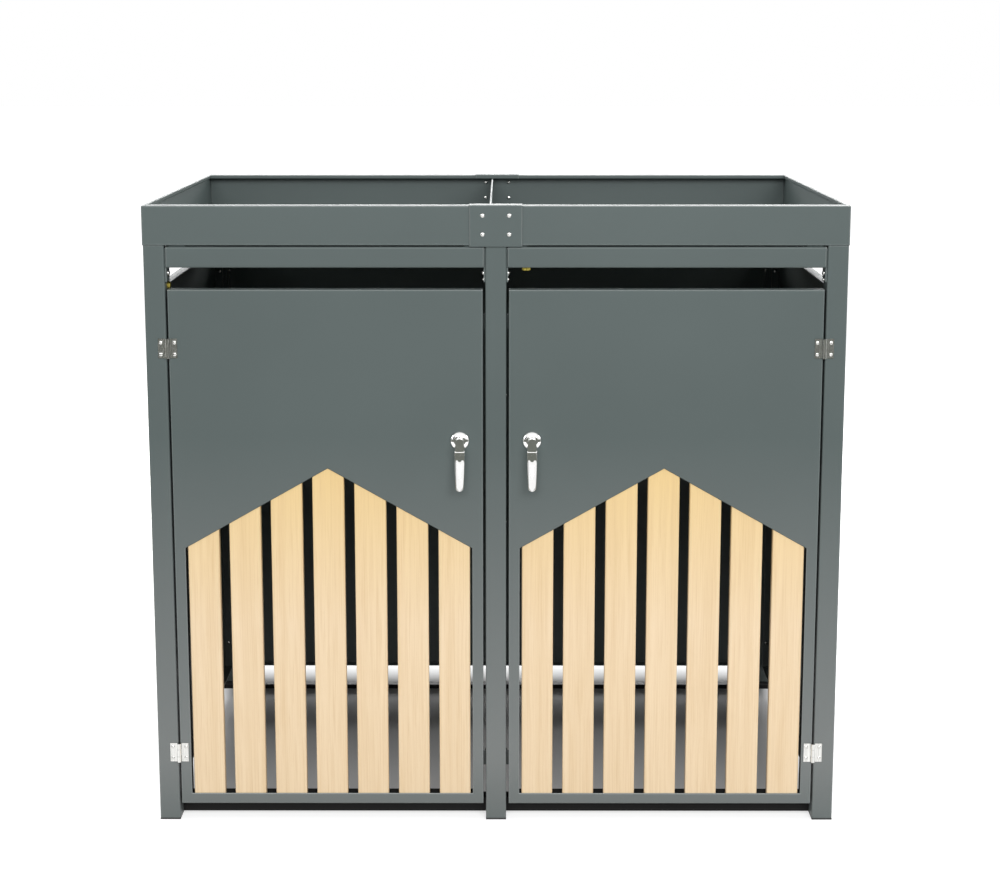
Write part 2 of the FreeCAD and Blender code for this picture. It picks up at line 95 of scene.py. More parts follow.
# Sizes and colours that a user would change
class StoreFinishes(bpy.types.PropertyGroup):
    """Colours and surface sizes of the materials."""

    coat_colour: colour_setting("Coat colour", "Powder coat on the steel", (0.0835, 0.1058, 0.1038))
    # Painted floor sheen: the paler coat low down stands in for light from the floor
    coat_low_colour: colour_setting(
        "Coat low colour", "Paler coat near the ground", (0.180, 0.194, 0.192))
    # Black coat that is partly painted shade: the low rails and slat frames sit in shade under and
    # behind the doors, and the coat's inner corners take this colour as painted shade
    black_coat_colour: colour_setting(
        "Black coat colour", "Black coat of the two low rails", (0.010, 0.010, 0.010))
    coat_roughness: number_setting(
        "Coat roughness", "Average roughness of the powder coat", 0.46, (0, 1), subtype="FACTOR")
    coat_texture: length_setting(
        "Coat texture", "Width of the small bumps in the powder coat", 0.0012, (0.0002, 0.01))
    slat_colour: colour_setting(
        "Slat colour", "Pale wood between the grain lines", (0.822, 0.648, 0.436))
    # Painted light: the warmer tops and paler lower slats stand for how the light falls on them
    slat_warm_colour: colour_setting(
        "Slat warm colour", "Warmer wood towards the tops of the slats", (0.745, 0.540, 0.235))
    slat_grain_colour: colour_setting(
        "Slat grain colour", "Grain lines and pores", (0.630, 0.430, 0.215))
    chrome_colour: colour_setting(
        "Chrome colour", "Plating of the levers and roses", (0.94, 0.94, 0.93))
    coat_edge_colour: colour_setting(
        "Coat edge colour", "Light that the coated edges catch", (0.370, 0.400, 0.395))
    edge_radius: length_setting(
        "Edge radius", "Rounding of the coated edges as the light sees it", 0.0035, (0.0, 0.006))
    corner_width: length_setting(
        "Corner width", "Width of the shade in the coated inner corners", 0.0028, (0.0005, 0.03))
    stainless_colour: colour_setting(
        "Stainless colour", "Hinges, screws and rivets", (0.66, 0.66, 0.64))
    zinc_colour: colour_setting("Zinc colour", "Cams and latch nuts", (0.58, 0.58, 0.57))
    yellow_zinc_colour: colour_setting(
        "Yellow zinc colour", "The bolt and nut with yellow plating", (0.46, 0.38, 0.08))
    cap_colour: colour_setting(
        "Cap colour", "Plastic end caps under the posts", (0.018, 0.018, 0.019))


class StoreLatches(bpy.types.PropertyGroup):
    """Shape of the levers and roses."""

    rose_rim: length_setting(
        "Rose rim", "Height of the upright rim under the dome", 0.0018, (0.0005, 0.006))
    boss_front: length_setting(
        "Boss front", "Distance from the door's face to the boss's front", 0.025, (0.015, 0.035))
    boss_drop: length_setting(
        "Boss drop", "Distance from the spindle to the foot of the boss", 0.0185, (0.012, 0.03))
    boss_width: length_setting(
        "Boss width", "Width of the boss at its foot", 0.0195, (0.015, 0.021))
    boss_top_width: length_setting(
        "Boss top width", "Width of the arch at the top of the boss", 0.015, (0.01, 0.02))
    boss_bevel: length_setting(
        "Boss bevel", "Width of the boss's polished front edge", 0.0013, (0.0003, 0.003))
    neck_width: length_setting(
        "Neck width", "Width of the blade where it leaves the boss", 0.02, (0.01, 0.021))
    blade_width: length_setting(
        "Blade width", "Width of the blade half way down", 0.019, (0.01, 0.021))
    tip_width: length_setting(
        "Tip width", "Width of the blade where its round end starts", 0.0158, (0.008, 0.02))
    neck_length: length_setting(
        "Neck length", "Upright part of the blade below the boss", 0.006, (0.0, 0.02))
    neck_thickness: length_setting(
        "Neck thickness", "Thickness of the blade at the boss", 0.01, (0.004, 0.014))
    tip_thickness: length_setting(
        "Tip thickness", "Thickness of the blade near its end", 0.006, (0.003, 0.01))


class StoreFixings(bpy.types.PropertyGroup):
    """Sizes of the small fixings."""

    rivet_diameter: length_setting(
        "Rivet diameter", "Domed rivets of the joint plates", 0.0085, (0.004, 0.014))
    rivet_spacing_across: length_setting(
        "Rivet spacing across", "Distance between the rivets along the plate", 0.0505, (0.02, 0.09))
    rear_rivet_spacing: length_setting(
        "Rear rivet spacing", "Distance between the rear plate's rivets", 0.053, (0.02, 0.09))
    rivet_spacing_upright: length_setting(
        "Rivet spacing upright", "Distance from upper to lower rivets", 0.0358, (0.015, 0.06))
    rivet_drop: length_setting(
        "Rivet drop", "Distance from the trays' top to the upper rivets", 0.0183, (0.01, 0.04))
    rail_screw_diameter: length_setting(
        "Rail screw diameter", "Upper domed screw of each rail end", 0.0095, (0.004, 0.014))
    rail_lower_screw_diameter: length_setting(
        "Lower rail screw diameter", "Lower domed screw of each rail end", 0.007, (0.004, 0.014))
    hinge_screw_diameter: length_setting(
        "Hinge screw diameter", "Screw heads in the hinge leaves", 0.007, (0.003, 0.009))
    hinge_screw_spread: length_setting(
        "Hinge screw spread", "Distance from the hinge's axis to its screws", 0.013, (0.008, 0.017))
    hinge_screw_rise: length_setting(
        "Hinge screw rise", "Distance from a hinge's middle to its screws", 0.0114, (0.006, 0.015))
    bolt_across_flats: length_setting(
        "Bolt across flats", "Hexagon of the yellow bolt in the left post", 0.0126, (0.006, 0.013))
    nut_across_flats: length_setting(
        "Nut across flats", "Hexagon of the yellow nut under the right rail", 0.016, (0.006, 0.017))
    slat_screw_diameter: length_setting(
        "Slat screw diameter", "Screw heads behind the slats", 0.008, (0.004, 0.012))
    panel_screw_diameter: length_setting(
        "Panel screw diameter", "Screw heads inside the panels' folds", 0.008, (0.004, 0.012))


class StoreStage(bpy.types.PropertyGroup):
    """Camera, lamps and floor."""

    camera_place: bpy.props.FloatVectorProperty(
        name="Camera place", description="Where the camera stands", subtype="TRANSLATION",
        unit="LENGTH", size=3, default=(0.014, -3.845, 1.530))
    camera_target: bpy.props.FloatVectorProperty(
        name="Camera target", description="The point the camera looks at", subtype="TRANSLATION",
        unit="LENGTH", size=3, default=(0.0072, 0.0, 0.9017))
    lens: number_setting(
        "Lens", "Focal length in millimetres on a 36 mm wide sensor", 65.9, (20, 200))
    shift: number_setting(
        "Vertical shift", "Shift of the view as a share of its width", -0.105, (-0.5, 0.5))
    floor_colour: colour_setting("Floor colour", "Pale floor", (0.55, 0.55, 0.55))
    floor_glow: number_setting(
        "Floor glow", "How much the floor is lightened away from the store", 0.66, (0, 2))
    # Painted light on the floor just behind the doors, where light through the slats falls
    inner_glow: number_setting(
        "Inner glow", "How much the floor just behind the doors is lightened", 0.18, (0, 1))
    floor_fade: length_setting(
        "Floor fade", "Distance over which the floor lightens away from the store", 0.04, (0.01, 3))
    card_distance: length_setting(
        "Card distance", "Radius of the curved cards round the store", 3.0, (1, 10))
    card_height: length_setting(
        "Card height", "Height of the grey card before the store", 0.9, (0.1, 3))
    card_colour: colour_setting(
        "Card colour", "Tone of the grey card before the store", (0.16, 0.17, 0.15))
    sky_light: number_setting("Sky light", "Soft light from all round", 0.25, (0, 2))
    front_light: power_setting("Front light", "Power of the soft lamp before the store", 222)
    back_light: power_setting("Back light", "Power of the soft lamp behind the store", 200)
    low_back_light: power_setting(
        "Low back light", "Power of the low lamp that shines under the rear panels", 60)
    side_light: power_setting("Side light", "Power of each soft lamp beside the store", 90)


# Mesh helpers
def linked(name, data):
    """An object of the scene that holds a mesh, a lamp or a camera."""
    item = bpy.data.objects.new(name, data)
    bpy.context.scene.collection.objects.link(item)
    return item


def meshed(bm, name, material):
    """An object made from a bmesh, with its material."""
    mesh = bpy.data.meshes.new(name)
    bm.to_mesh(mesh)
    bm.free()
    mesh.materials.append(material)
    return linked(name, mesh)


def finished(bm, name, body, slot, finish=None, sharp_angle=35.0):
    """Turns a bmesh into a piece that rides on a body and has its slot's finish or another one."""
    bmesh.ops.recalc_face_normals(bm, faces=bm.faces)
    piece = meshed(bm, name, shared_material(finish or slot))
    piece.data.shade_smooth()
    piece.data.set_sharp_from_angle(angle=math.radians(sharp_angle))
    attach(piece, body)
    return piece


def axis_matrix(place, direction):
    """The matrix that puts local +Z along a direction at a place."""
    return Matrix.Translation(place) @ direction.to_track_quat("Z", "Y").to_matrix().to_4x4()


def rings(bm, sections, matrix, capped=True):
    """Joins closed rings of points, one after another, with quads, and closes both ends."""
    made = [[bm.verts.new(matrix @ Vector(point)) for point in section] for section in sections]
    for lower, upper in zip(made, made[1:]):
        for index, (foot, head) in enumerate(zip(lower, upper)):
            following = (index + 1) % len(lower)
            bm.faces.new((foot, lower[following], upper[following], head))
    if capped:
        bm.faces.new(reversed(made[0]))
        bm.faces.new(made[-1])


def ring(height, radius_at, segments=HEAD_SEGMENTS, offset=0.0):
    """A ring of points about local Z, with a radius for each angle."""
    angles = [2 * math.pi * (k + offset) / segments for k in range(segments)]
    return [(radius_at(angle) * math.cos(angle), radius_at(angle) * math.sin(angle), height)
            for angle in angles]


def circle(radius, height, segments=HEAD_SEGMENTS):
    """A round ring of points about local Z."""
    return ring(height, lambda angle: radius, segments)


def from_side(angle, sides):
    """An angle measured from the middle of the nearest of a number of like sides."""
    half = math.pi / sides
    return (angle + half) % (2 * half) - half


def hexagon_ring(half_across_flats, height):
    """A ring of points on a hexagon about local Z."""
    return ring(height, lambda angle: half_across_flats / math.cos(from_side(angle, 6)))


def cross_ring(arm, half_width, height):
    """A ring of points on a cross about local Z."""
    def radius_at(angle):
        local = from_side(angle, 4)
        return min(arm / math.cos(local), half_width / max(abs(math.sin(local)), TINY))
    return ring(height, radius_at, offset=0.5)


def domed_sections(radius, height, rim, flat, steps=5, segments=HEAD_SEGMENTS):
    """Rings of a dome from its rim up to a flat top of a given radius."""
    sections = [circle(radius, 0.0, segments), circle(radius, rim, segments)]
    cap = math.acos(min(flat / radius, 1.0))
    for step in range(1, steps + 1):
        angle = cap * step / steps
        rise = math.sin(angle) / math.sin(cap)
        sections.append(circle(radius * math.cos(angle), rim + (height - rim) * rise, segments))
    return sections


def domed_screw(bm, place, direction, diameter, height, recess="hexagon"):
    """A domed head with a driving recess, its foot on the surface at a place."""
    radius = diameter / 2
    sections = domed_sections(radius, height, height * 0.12, radius * 0.42)
    bottom = height * 0.45
    if recess == "hexagon":
        sections.append(hexagon_ring(radius * 0.34, height))
        sections.append(hexagon_ring(radius * 0.32, bottom))
    else:
        sections.append(cross_ring(radius * 0.40, radius * 0.10, height))
        sections.append(cross_ring(radius * 0.28, radius * 0.08, bottom))
    rings(bm, sections, axis_matrix(place, direction))


def domed_rivet(bm, place, direction, diameter, height):
    """A blind rivet's head with the dimple of its broken stem."""
    radius = diameter / 2
    sections = domed_sections(radius, height, height * 0.15, radius * 0.36)
    sections.append(circle(radius * 0.27, height * 0.88))
    sections.append(circle(radius * 0.20, height * 0.93))
    rings(bm, sections, axis_matrix(place, direction))


def hexagon_head(bm, place, direction, across_flats, height):
    """A hexagon head on a thin washer, with its corners turned off."""
    washer = across_flats * 0.66
    sections = [circle(washer, 0.0), circle(washer, height * 0.16),
                hexagon_ring(across_flats / 2, height * 0.18),
                hexagon_ring(across_flats / 2, height * 0.86),
                circle(across_flats * 0.47, height)]
    rings(bm, sections, axis_matrix(place, direction))


def inner_faces(low, high, along, thickness):
    """The middles of the inner faces of a part's two end plates or folds, and their directions."""
    centre = (low + high) / 2
    for end, inward in ((low, along), (high, -along)):
        face = end.dot(along) + thickness * inward.dot(along)
        yield centre + along * (face - centre.dot(along)), inward


# Material helpers
class Nodes:
    """A short way to add and join the shader nodes of a material, a group or the world."""

    def __init__(self, tree):
        self.tree = tree

    def put(self, node, key, value):
        """Joins a socket to a node's input, or sets the input's value."""
        if isinstance(value, bpy.types.NodeSocket):
            self.tree.links.new(value, node.inputs[key])
        else:
            node.inputs[key].default_value = value

    def add(self, kind, inputs=None, **settings):
        """Adds a node with its settings and inputs."""
        node = self.tree.nodes.new(kind)
        for key, value in settings.items():
            setattr(node, key, value)
        for key, value in (inputs or {}).items():
            self.put(node, key, value)
        return node

    def math(self, operation, first, second=0.0, clamp=False):
        return self.add("ShaderNodeMath", {0: first, 1: second}, operation=operation,
                        use_clamp=clamp).outputs[0]

    def product(self, first, *others):
        for other in others:
            first = self.math("MULTIPLY", first, other)
        return first

    def distance(self, first, second):
        """The length of the way along two axes."""
        squares = self.math("ADD", self.product(first, first), self.product(second, second))
        return self.math("SQRT", squares)

    def vector(self, operation, first, second, output=0):
        return self.add("ShaderNodeVectorMath", {0: first, 1: second},
                        operation=operation).outputs[output]

    def scaled(self, vector, factor):
        return self.add("ShaderNodeVectorMath", {0: vector, "Scale": factor},
                        operation="SCALE").outputs[0]

    def mix(self, factor, first, second):
        first, second = (value if isinstance(value, bpy.types.NodeSocket) else (*value[:3], 1.0)
                         for value in (first, second))
        return self.add("ShaderNodeMix", {0: factor, 6: first, 7: second},
                        data_type="RGBA").outputs[2]

    def span(self, value, low, high, to_low, to_high):
        """Turns one range of numbers into another, and holds them inside it."""
        return self.add("ShaderNodeMapRange",
                        {0: value, 1: low, 2: high, 3: to_low, 4: to_high}).outputs[0]

    def noise(self, place, scale, detail, roughness=0.5, output=0):
        return self.add("ShaderNodeTexNoise", {
            "Vector": place, "Scale": scale, "Detail": detail,
            "Roughness": roughness}).outputs[output]

    def tone(self, shader, pattern, colour, low, high):
        """Makes a shader's colour darker and lighter by a cloudy pattern."""
        share = self.span(pattern, *CLOUD_RANGE, 0.0, 1.0)
        darker, lighter = ([min(channel * factor, 1.0) for channel in colour]
                           for factor in (low, high))
        self.put(shader, "Base Color", self.mix(share, darker, lighter))

    def bump(self, shader, height, distance, strength=1.0):
        node = self.add("ShaderNodeBump", {
            "Height": height, "Distance": distance, "Strength": strength})
        self.put(shader, "Normal", node.outputs[0])
        return node

    def place(self):
        """The place on the object."""
        return self.add("ShaderNodeTexCoord").outputs["Object"]

    def axes(self):
        """The place on the object as X, Y and Z."""
        return self.add("ShaderNodeSeparateXYZ", {0: self.place()}).outputs

    def group(self, build, values):
        """Places a shared node group, built the first time, with its own values."""
        tree = bpy.data.node_groups.get(build.__name__) or build()
        return self.add("ShaderNodeGroup", values, node_tree=tree).outputs

    def seen(self):
        """1 for rays from the camera, from gloss or through glass, 0 for all other light."""
        rays = self.add("ShaderNodeLightPath").outputs
        seen = self.math("ADD", rays["Is Camera Ray"], rays["Is Glossy Ray"], clamp=True)
        return self.math("ADD", seen, rays["Is Transmission Ray"], clamp=True)


def new_group(name, inputs, outputs):
    """A node group with named sockets for numbers."""
    tree = bpy.data.node_groups.new(name, "ShaderNodeTree")
    for label, default in inputs.items():
        socket = tree.interface.new_socket(
            name=label, in_out="INPUT", socket_type="NodeSocketFloat")
        socket.default_value = default
    for label in outputs:
        tree.interface.new_socket(name=label, in_out="OUTPUT", socket_type="NodeSocketFloat")
    nodes = Nodes(tree)
    return nodes, nodes.add("NodeGroupInput").outputs, nodes.add("NodeGroupOutput")


def fine_speckle():
    """Small bumps and slow changes of tone, for coats, plating and moulded plastic."""
    nodes, given, result = new_group(
        "fine_speckle", {"Bump Width": 0.001, "Patch Width": 0.4}, ("Height", "Patches"))
    place = nodes.place()
    bump_scale = nodes.math("DIVIDE", 1.0, given["Bump Width"])
    patch_scale = nodes.math("DIVIDE", 1.0, given["Patch Width"])
    nodes.put(result, "Height", nodes.noise(place, bump_scale, 2.0))
    nodes.put(result, "Patches", nodes.noise(place, patch_scale, 3.0, 0.55))
    return nodes.tree


def long_streaks():
    """Long thin lines along one axis and wide bands of them, for wood grain and brushed metal."""
    nodes, given, result = new_group(
        "long_streaks", {"Line Width": 0.002, "Line Length": 0.1, "Wander": 0.0},
        ("Lines", "Bands"))
    drift_scale = 4.0
    band_share = 0.16
    place = nodes.place()
    drift = nodes.noise(place, drift_scale, 1.0, output="Color")
    drift = nodes.vector("SUBTRACT", drift, (0.5, 0.5, 0.5))
    place = nodes.vector("ADD", place, nodes.scaled(drift, given["Wander"]))
    across = nodes.math("DIVIDE", 1.0, given["Line Width"])
    along = nodes.math("DIVIDE", 1.0, given["Line Length"])
    stretch = nodes.add("ShaderNodeCombineXYZ", {0: across, 1: across, 2: along}).outputs[0]
    place = nodes.vector("MULTIPLY", place, stretch)
    nodes.put(result, "Lines", nodes.noise(place, 1.0, 3.0, 0.6))
    nodes.put(result, "Bands", nodes.noise(nodes.scaled(place, band_share), 1.0, 2.0))
    return nodes.tree


def new_material(name, colour):
    """An empty material with a shader and an output, and the colour it has in the viewport."""
    material = bpy.data.materials.new(name + "_finish")
    material.use_nodes = True
    material.diffuse_color = (*colour, 1.0)
    material.node_tree.nodes.clear()
    nodes = Nodes(material.node_tree)
    shader = nodes.add("ShaderNodeBsdfPrincipled")
    nodes.add("ShaderNodeOutputMaterial", {"Surface": shader.outputs[0]})
    return material, nodes, shader


def speckled(name, colour, roughness, rough_change, bump_width, bump_height, patch_width, tone,
             metallic, reflection):
    """A coat, plating or plastic with small bumps and slow changes of tone and gloss."""
    material, nodes, shader = new_material(name, colour)
    speckle = nodes.group(fine_speckle, {"Bump Width": bump_width, "Patch Width": patch_width})
    nodes.tone(shader, speckle["Patches"], colour, 1 - tone, 1 + tone)
    nodes.put(shader, "Roughness", nodes.span(speckle["Patches"], *CLOUD_RANGE,
                                              roughness - rough_change, roughness + rough_change))
    nodes.put(shader, "Metallic", metallic)
    nodes.put(shader, "Specular IOR Level", reflection)
    return material, nodes, shader, nodes.bump(shader, speckle["Height"], bump_height)


def brushed_steel(finishes):
    """Stainless steel with fine lines from brushing."""
    colour = finishes.stainless_colour
    material, nodes, shader = new_material("stainless", colour)
    streaks = nodes.group(long_streaks, {"Line Width": 0.4 * MM, "Line Length": 12 * MM})
    nodes.tone(shader, streaks["Bands"], colour, 0.86, 1.1)
    nodes.put(shader, "Roughness", nodes.span(streaks["Lines"], *CLOUD_RANGE, 0.11, 0.25))
    nodes.put(shader, "Metallic", 1.0)
    nodes.bump(shader, streaks["Lines"], 0.02 * MM)
    return material


def powder_coat(finishes):
    """Satin powder coat with its slight orange-peel texture, paler towards the ground by painted
    floor sheen.
    """
    material, nodes, shader, bump = speckled(
        "powder_coat", finishes.coat_colour, finishes.coat_roughness, 0.05,
        finishes.coat_texture, 0.04 * MM, patch_width=0.45, tone=0.03, metallic=0.0,
        reflection=0.3)
    rounded = nodes.add("ShaderNodeBevel", {"Radius": finishes.edge_radius}, samples=8).outputs[0]
    nodes.put(bump, "Normal", rounded)

    # Painted floor sheen: paler from half way down, less so at the very foot and towards the back
    axes = nodes.axes()
    low = nodes.product(nodes.span(axes["Z"], 0.78, 0.16, 0.0, 1.0),
                        nodes.span(axes["Z"], 0.0, 0.12, 0.50, 1.0),
                        nodes.span(axes["Y"], -0.36, 0.10, 1.0, 0.40))
    speckled_colour = shader.inputs["Base Color"].links[0].from_socket
    floor_sheened = nodes.mix(low, speckled_colour, finishes.coat_low_colour)

    # Light on the outer edges that don't face the ground, and shade in the inner corners
    flat = nodes.add("ShaderNodeNewGeometry").outputs["Normal"]
    facing = nodes.vector("DOT_PRODUCT", rounded, flat, output="Value")
    open_air = nodes.add("ShaderNodeAmbientOcclusion", {"Distance": finishes.corner_width},
                         samples=4).outputs["AO"]
    upward = nodes.add("ShaderNodeSeparateXYZ", {0: rounded}).outputs["Z"]
    edge = nodes.product(nodes.span(facing, 0.998, 0.90, 0.0, 0.9),
                         nodes.span(open_air, 0.80, 0.97, 0.0, 1.0),
                         nodes.span(upward, -0.3, 0.3, 0.0, 1.0))
    corner = nodes.span(open_air, 0.45, 0.85, 0.45, 0.0)
    edged = nodes.mix(edge, floor_sheened, finishes.coat_edge_colour)
    nodes.put(shader, "Base Color", nodes.mix(corner, edged, finishes.black_coat_colour))
    return material


def slat_wood(finishes):
    """Pale planed wood, fine upright grain and painted light that warms the slats' tops."""
    material, nodes, shader = new_material("slat_wood", finishes.slat_colour)
    streaks = nodes.group(
        long_streaks, {"Line Width": 0.0022, "Line Length": 0.16, "Wander": 0.006})
    pores = nodes.group(
        long_streaks, {"Line Width": 0.0009, "Line Length": 0.012, "Wander": 0.002})
    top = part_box("left_slat_4")[1].z
    # Painted light: warmer towards the slats' tops, paler lower down
    painted_top_share = nodes.span(nodes.axes()["Z"], top * 0.55, top, 0.0, 1.0)
    wood = nodes.mix(painted_top_share, finishes.slat_colour, finishes.slat_warm_colour)
    bands = nodes.span(streaks["Bands"], 0.35, 0.70, 0.0, 0.26)
    lines = nodes.span(streaks["Lines"], 0.46, 0.72, 0.0, 0.44)
    pits = nodes.span(pores["Lines"], 0.60, 0.78, 0.0, 0.40)
    for mask in (bands, lines, pits):
        wood = nodes.mix(mask, wood, finishes.slat_grain_colour)
    nodes.put(shader, "Base Color", wood)
    nodes.put(shader, "Roughness", nodes.span(streaks["Lines"], *CLOUD_RANGE, 0.48, 0.62))
    relief = nodes.math("SUBTRACT", streaks["Lines"], pits)
    nodes.bump(shader, relief, 0.08 * MM, 0.6)
    return material


def shared_material(name):
    """The named finish, built the first time it is asked for."""
    if name + "_finish" in bpy.data.materials:
        return bpy.data.materials[name + "_finish"]
    finishes = bpy.context.scene.store_finishes
    built = {"powder_coat": powder_coat, "slat_wood": slat_wood, "stainless": brushed_steel}
    if name in built:
        return built[name](finishes)
    # Colour, roughness and its change, bumps' width and height, patches' width and change of
    # tone, metallic, reflection
    surfaces = {
        "chrome": (finishes.chrome_colour, 0.06, 0.025, 4 * MM, 0.004 * MM, 20 * MM, 0.03, 1, 0.5),
        "zinc": (finishes.zinc_colour, 0.38, 0.08, 0.8 * MM, 0.01 * MM, 4 * MM, 0.10, 1, 0.5),
        "yellow_zinc": (finishes.yellow_zinc_colour, 0.34, 0.08, 0.8 * MM, 0.01 * MM, 3 * MM,
                        0.22, 1, 0.5),
        "black_coat": (finishes.black_coat_colour, 0.65, 0.05, finishes.coat_texture, 0.04 * MM,
                       300 * MM, 0.10, 0, 0.2),
        "black_plastic": (finishes.cap_colour, 0.55, 0.05, 0.9 * MM, 0.04 * MM, 50 * MM, 0.10,
                          0, 0.5)}
    return speckled(name, *surfaces[name])[0]


def coat_nodes(slot):
    """Gives every node of one material slot its finish."""
    for row in frame["record"]["subparts"]:
        if row["material_slot"] == slot:
            coat_node(row["node"], slot)


def coat_node(name, finish):
    """Gives one node a finish."""
    for place in NODES[name].material_slots:
        place.material = shared_material(finish)


# Operators, one for each piece or group of like pieces
class STORE_OT_coat_steel(bpy.types.Operator):
    """Powder coat the posts, rails, panels, trays and doors, and blacken the low rails"""

    bl_idname = "store.coat_steel"
    bl_label = "Coat the steelwork"

    def execute(self, context):
        coat_nodes("powder_coat")
        # The black coat is partly painted shade on the low rails and the slat frames
        coat_nodes("black_coat")
        for side in SIDES:
            coat_node(side + "_slat_frame", "black_coat")
        return {"FINISHED"}


class STORE_OT_grain_slats(bpy.types.Operator):
    """Give the slats their pale upright grain"""

    bl_idname = "store.grain_slats"
    bl_label = "Grain the slats"

    def execute(self, context):
        coat_nodes("slat_wood")
        return {"FINISHED"}


class STORE_OT_plate_fittings(bpy.types.Operator):
    """Finish the hinges, cams, nuts and end caps"""

    bl_idname = "store.plate_fittings"
    bl_label = "Plate the fittings"

    def execute(self, context):
        for slot in ("stainless", "zinc", "chrome", "black_plastic"):
            coat_nodes(slot)
        return {"FINISHED"}


def latch_places(side):
    """The spindle's place on the door's face, and the lever's box."""
    low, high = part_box(side + "_lever")
    radius = (high.x - low.x) / 2
    face_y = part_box(side + "_door_sheet")[0].y
    return Vector(((low.x + high.x) / 2, face_y, high.z - radius)), low, high


class STORE_OT_turn_roses(bpy.types.Operator):
    """Turn the domed roses that carry the levers"""

    bl_idname = "store.turn_roses"
    bl_label = "Turn the roses"

    def execute(self, context):
        rim = context.scene.store_latches.rose_rim
        segments = 72
        for side in SIDES:
            spindle = latch_places(side)[0]
            low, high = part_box(side + "_latch_rose")
            radius = (high.x - low.x) / 2
            height = spindle.y - low.y
            bore = radius * 0.225
            barrel = radius * 0.486
            flat, seat = radius * 0.62, radius * 0.58
            barrel_end = spindle.y - high.y
            sections = [circle(bore, barrel_end, segments), circle(barrel, barrel_end, segments),
                        circle(barrel, 0.0, segments)]
            sections += domed_sections(radius, height, rim, flat, 12, segments)
            sections += [circle(seat, height, segments), circle(bore, height, segments)]
            bm = bmesh.new()
            rings(bm, sections + sections[:1], axis_matrix(spindle, FRONT), capped=False)
            bmesh.ops.remove_doubles(bm, verts=bm.verts, dist=TINY)
            piece = finished(bm, side + "_rose_domed", side + "_door", "chrome", sharp_angle=40)
            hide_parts(side + "_latch_rose")
        return {"FINISHED"}


def boss_outline(latches, top, inset, depth):
    """The arch of the boss, wider at its foot, drawn in a bit from its edge, before the door."""
    arch_steps = 24
    side_steps = 5
    corner = 1.5 * MM
    reach = latches.boss_top_width / 2 - inset
    centre = top - latches.boss_top_width / 2
    foot = inset - latches.boss_drop
    half = latches.boss_width / 2 - inset
    points = []
    for step in range(arch_steps + 1):
        angle = math.pi * step / arch_steps
        points.append((reach * math.cos(angle), centre + reach * math.sin(angle)))
    left = []
    for step in range(1, side_steps):
        share = step / side_steps
        left.append((-reach - (half - reach) * share, centre + (foot + corner - centre) * share))
    left += [(-half, foot + corner), (-half + corner * 0.3, foot + corner * 0.3)]
    points += left
    points += [((half - corner) * share, foot) for share in (-1, -0.5, 0, 0.5, 1)]
    points += [(-x, z) for x, z in reversed(left)]
    return [(x, -depth, z) for x, z in points]


